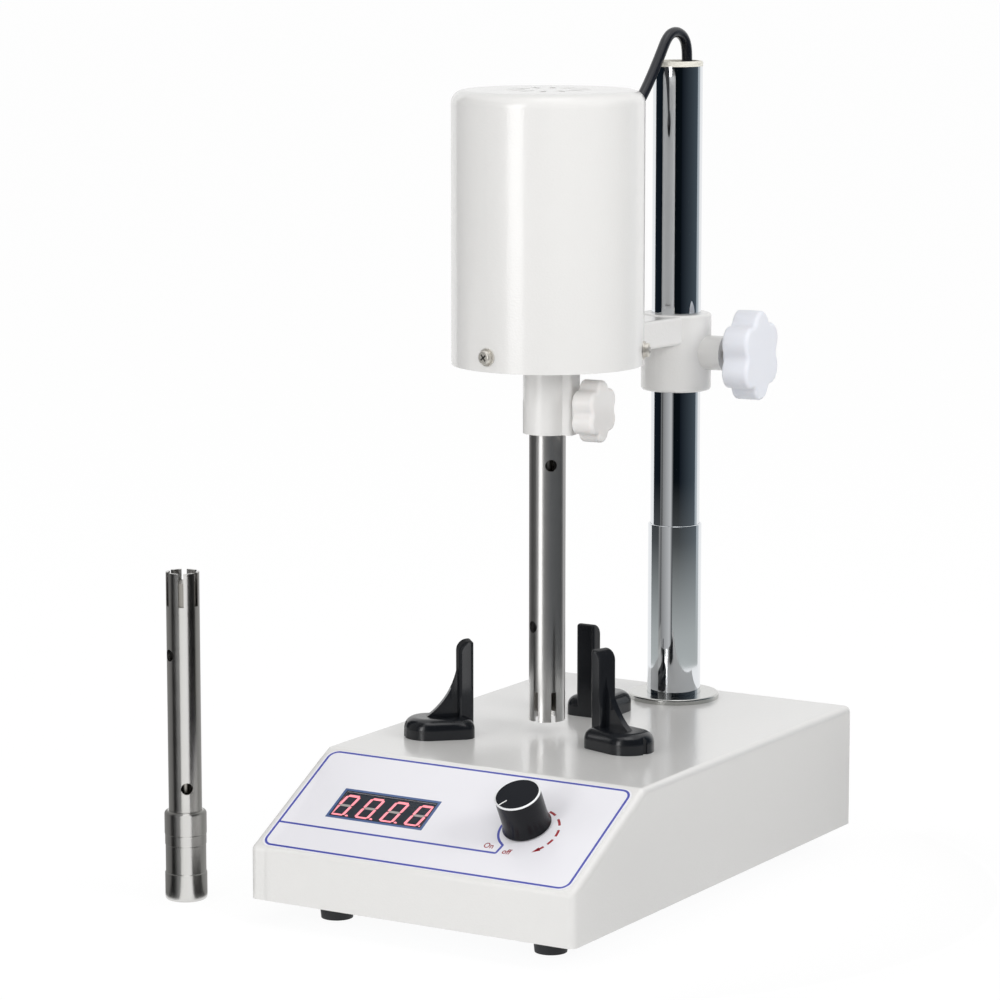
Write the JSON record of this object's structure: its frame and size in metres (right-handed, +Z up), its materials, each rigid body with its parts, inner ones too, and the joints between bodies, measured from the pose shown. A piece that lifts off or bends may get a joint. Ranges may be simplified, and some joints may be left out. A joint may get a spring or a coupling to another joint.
{
  "type": "rotor stator homogenizer",
  "caption": "Bench rotor stator homogenizer: wedge base with speed dial and display, vessel claws, column, and a sliding motor head with interchangeable slotted working heads.",
  "frame": {"origin": "on the bench, under the middle of the base's footprint", "axes": "+Z up, -Y out of the sloping front panel, +X to the user's right when facing the panel"},
  "size_m": [0.2233, 0.2685, 0.387],
  "materials": {
    "painted_steel": "fine orange-peel enamel, semi-gloss",
    "label_film": "printed polyester film, smooth",
    "chrome_tube": "polished chrome plate",
    "satin_nickel": "nickel plated",
    "zinc_steel": "zinc plated",
    "stainless": "turned and drawn stainless steel",
    "black_rubber": "matt",
    "black_plastic": "moulded, glossy",
    "white_plastic": "slightly translucent nylon",
    "cream_plastic": "moulded",
    "clear_window": "smoky acrylic",
    "led_black": "moulded",
    "circuit_board": "solder mask",
    "laminations": "stacked sheet edges",
    "copper": "enamelled wire",
    "brass": "plain",
    "carbon": "pressed carbon",
    "cast_aluminium": "as cast",
    "ptfe": "turned",
    "lead_jacket": "smooth PVC"
  },
  "bodies": {
    "stand": {"base_shell": "painted_steel", "base_plate": "zinc_steel", "rubber_feet": "black_rubber", "foot_screws": "zinc_steel", "panel_label": "label_film", "display_window": "clear_window", "led_module": "led_black", "potentiometer": "zinc_steel", "pot_nut": "zinc_steel", "mains_inlet": "black_plastic", "inlet_pins": "brass", "inlet_screws": "satin_nickel", "control_board": "circuit_board", "board_standoffs": "brass", "lead_terminal": "cream_plastic", "column_flange": "chrome_tube", "column_lock_nut": "zinc_steel", "column_sleeve": "chrome_tube", "column_post": "chrome_tube"},
    "lead_swivel": {"column_cap": "cream_plastic", "motor_lead": "lead_jacket"},
    "head": {"head_casting": "painted_steel", "motor_housing": "painted_steel", "housing_screws": "satin_nickel", "lead_grommet": "black_rubber", "field_core": "laminations", "field_coils": "copper", "motor_bracket": "cast_aluminium", "motor_bolts": "zinc_steel", "motor_terminal": "cream_plastic", "lower_bearing": "stainless", "upper_bearing": "stainless", "carbon_brushes": "carbon", "brush_holders": "brass", "stator_tube": "stainless", "shaft_bushes": "ptfe"},
    "motor_rotor": {"motor_shaft": "stainless", "armature_core": "laminations", "armature_windings": "copper", "commutator": "copper", "cooling_fan": "black_plastic", "drive_coupling": "black_plastic"},
    "tool_rotor": {"rotor_shaft": "stainless", "rotor_blades": "stainless"},
    "height_clamp": {"height_knob": "white_plastic", "height_knob_stud": "satin_nickel"},
    "tool_clamp": {"tool_knob": "white_plastic", "tool_knob_stud": "satin_nickel"},
    "speed_control": {"speed_dial": "black_plastic", "dial_shaft": "brass"},
    "right_claw": {"claw_right": "black_plastic", "claw_right_screw": "zinc_steel"},
    "rear_claw": {"claw_rear": "black_plastic", "claw_rear_screw": "zinc_steel"},
    "left_claw": {"claw_left": "black_plastic", "claw_left_screw": "zinc_steel"},
    "spare_tool": {"spare_stator_tube": "stainless", "spare_shaft_bushes": "ptfe"},
    "spare_rotor": {"spare_rotor_shaft": "stainless", "spare_rotor_blades": "stainless"}
  },
  "joints": [
    {"name": "head_swivel", "type": "hinge", "parent": "stand", "child": "lead_swivel", "pos_m": [0, 0.1061, 0.2348], "axis": [0, 0, 1], "range_deg": [-90, 12]},
    {"name": "head_lift", "type": "slide", "parent": "lead_swivel", "child": "head", "axis": [0, 0, 1], "range_m": [-0.004, 0.11], "deforming": ["motor_lead"]},
    {"name": "motor_spin", "type": "hinge", "parent": "head", "child": "motor_rotor", "pos_m": [-0.01305, 0.00832, 0.292], "axis": [0, 0, 1], "continuous": true},
    {"name": "rotor_spin", "type": "hinge", "parent": "head", "child": "tool_rotor", "pos_m": [-0.01305, 0.00832, 0.084], "axis": [0, 0, 1], "continuous": true},
    {"name": "height_knob_turn", "type": "hinge", "parent": "head", "child": "height_clamp", "pos_m": [0.03985, 0.10952, 0.2348], "axis": [0.9963, 0.0854, 0], "range_deg": [0, 360]},
    {"name": "tool_knob_turn", "type": "hinge", "parent": "head", "child": "tool_clamp", "pos_m": [0.01086, 0.01037, 0.2179], "axis": [0.9963, 0.0854, 0], "range_deg": [0, 360]},
    {"name": "speed_dial_turn", "type": "hinge", "parent": "stand", "child": "speed_control", "pos_m": [0.0404, -0.09927, 0.05218], "axis": [0, -0.4754, 0.8798], "range_deg": [-300, 0]},
    {"name": "claw_right_slide", "type": "slide", "parent": "stand", "child": "right_claw", "axis": [0.9511, -0.309, 0], "range_m": [-0.005, 0.005]},
    {"name": "claw_rear_slide", "type": "slide", "parent": "stand", "child": "rear_claw", "axis": [0, 1, 0], "range_m": [-0.005, 0.005]},
    {"name": "claw_left_slide", "type": "slide", "parent": "stand", "child": "left_claw", "axis": [-0.7431, -0.6691, 0], "range_m": [-0.005, 0.005]},
    {"name": "spare_lift", "type": "slide", "parent": "stand", "child": "spare_tool", "axis": [0, 0, 1], "range_m": [0, 0.12]},
    {"name": "spare_spin", "type": "hinge", "parent": "spare_tool", "child": "spare_rotor", "pos_m": [-0.1313, -0.112, 0.138], "axis": [0, 0, 1], "continuous": true}
  ],
  "couplings": [
    {"joint": "rotor_spin", "follows": "motor_spin", "ratio": 1}
  ]
}
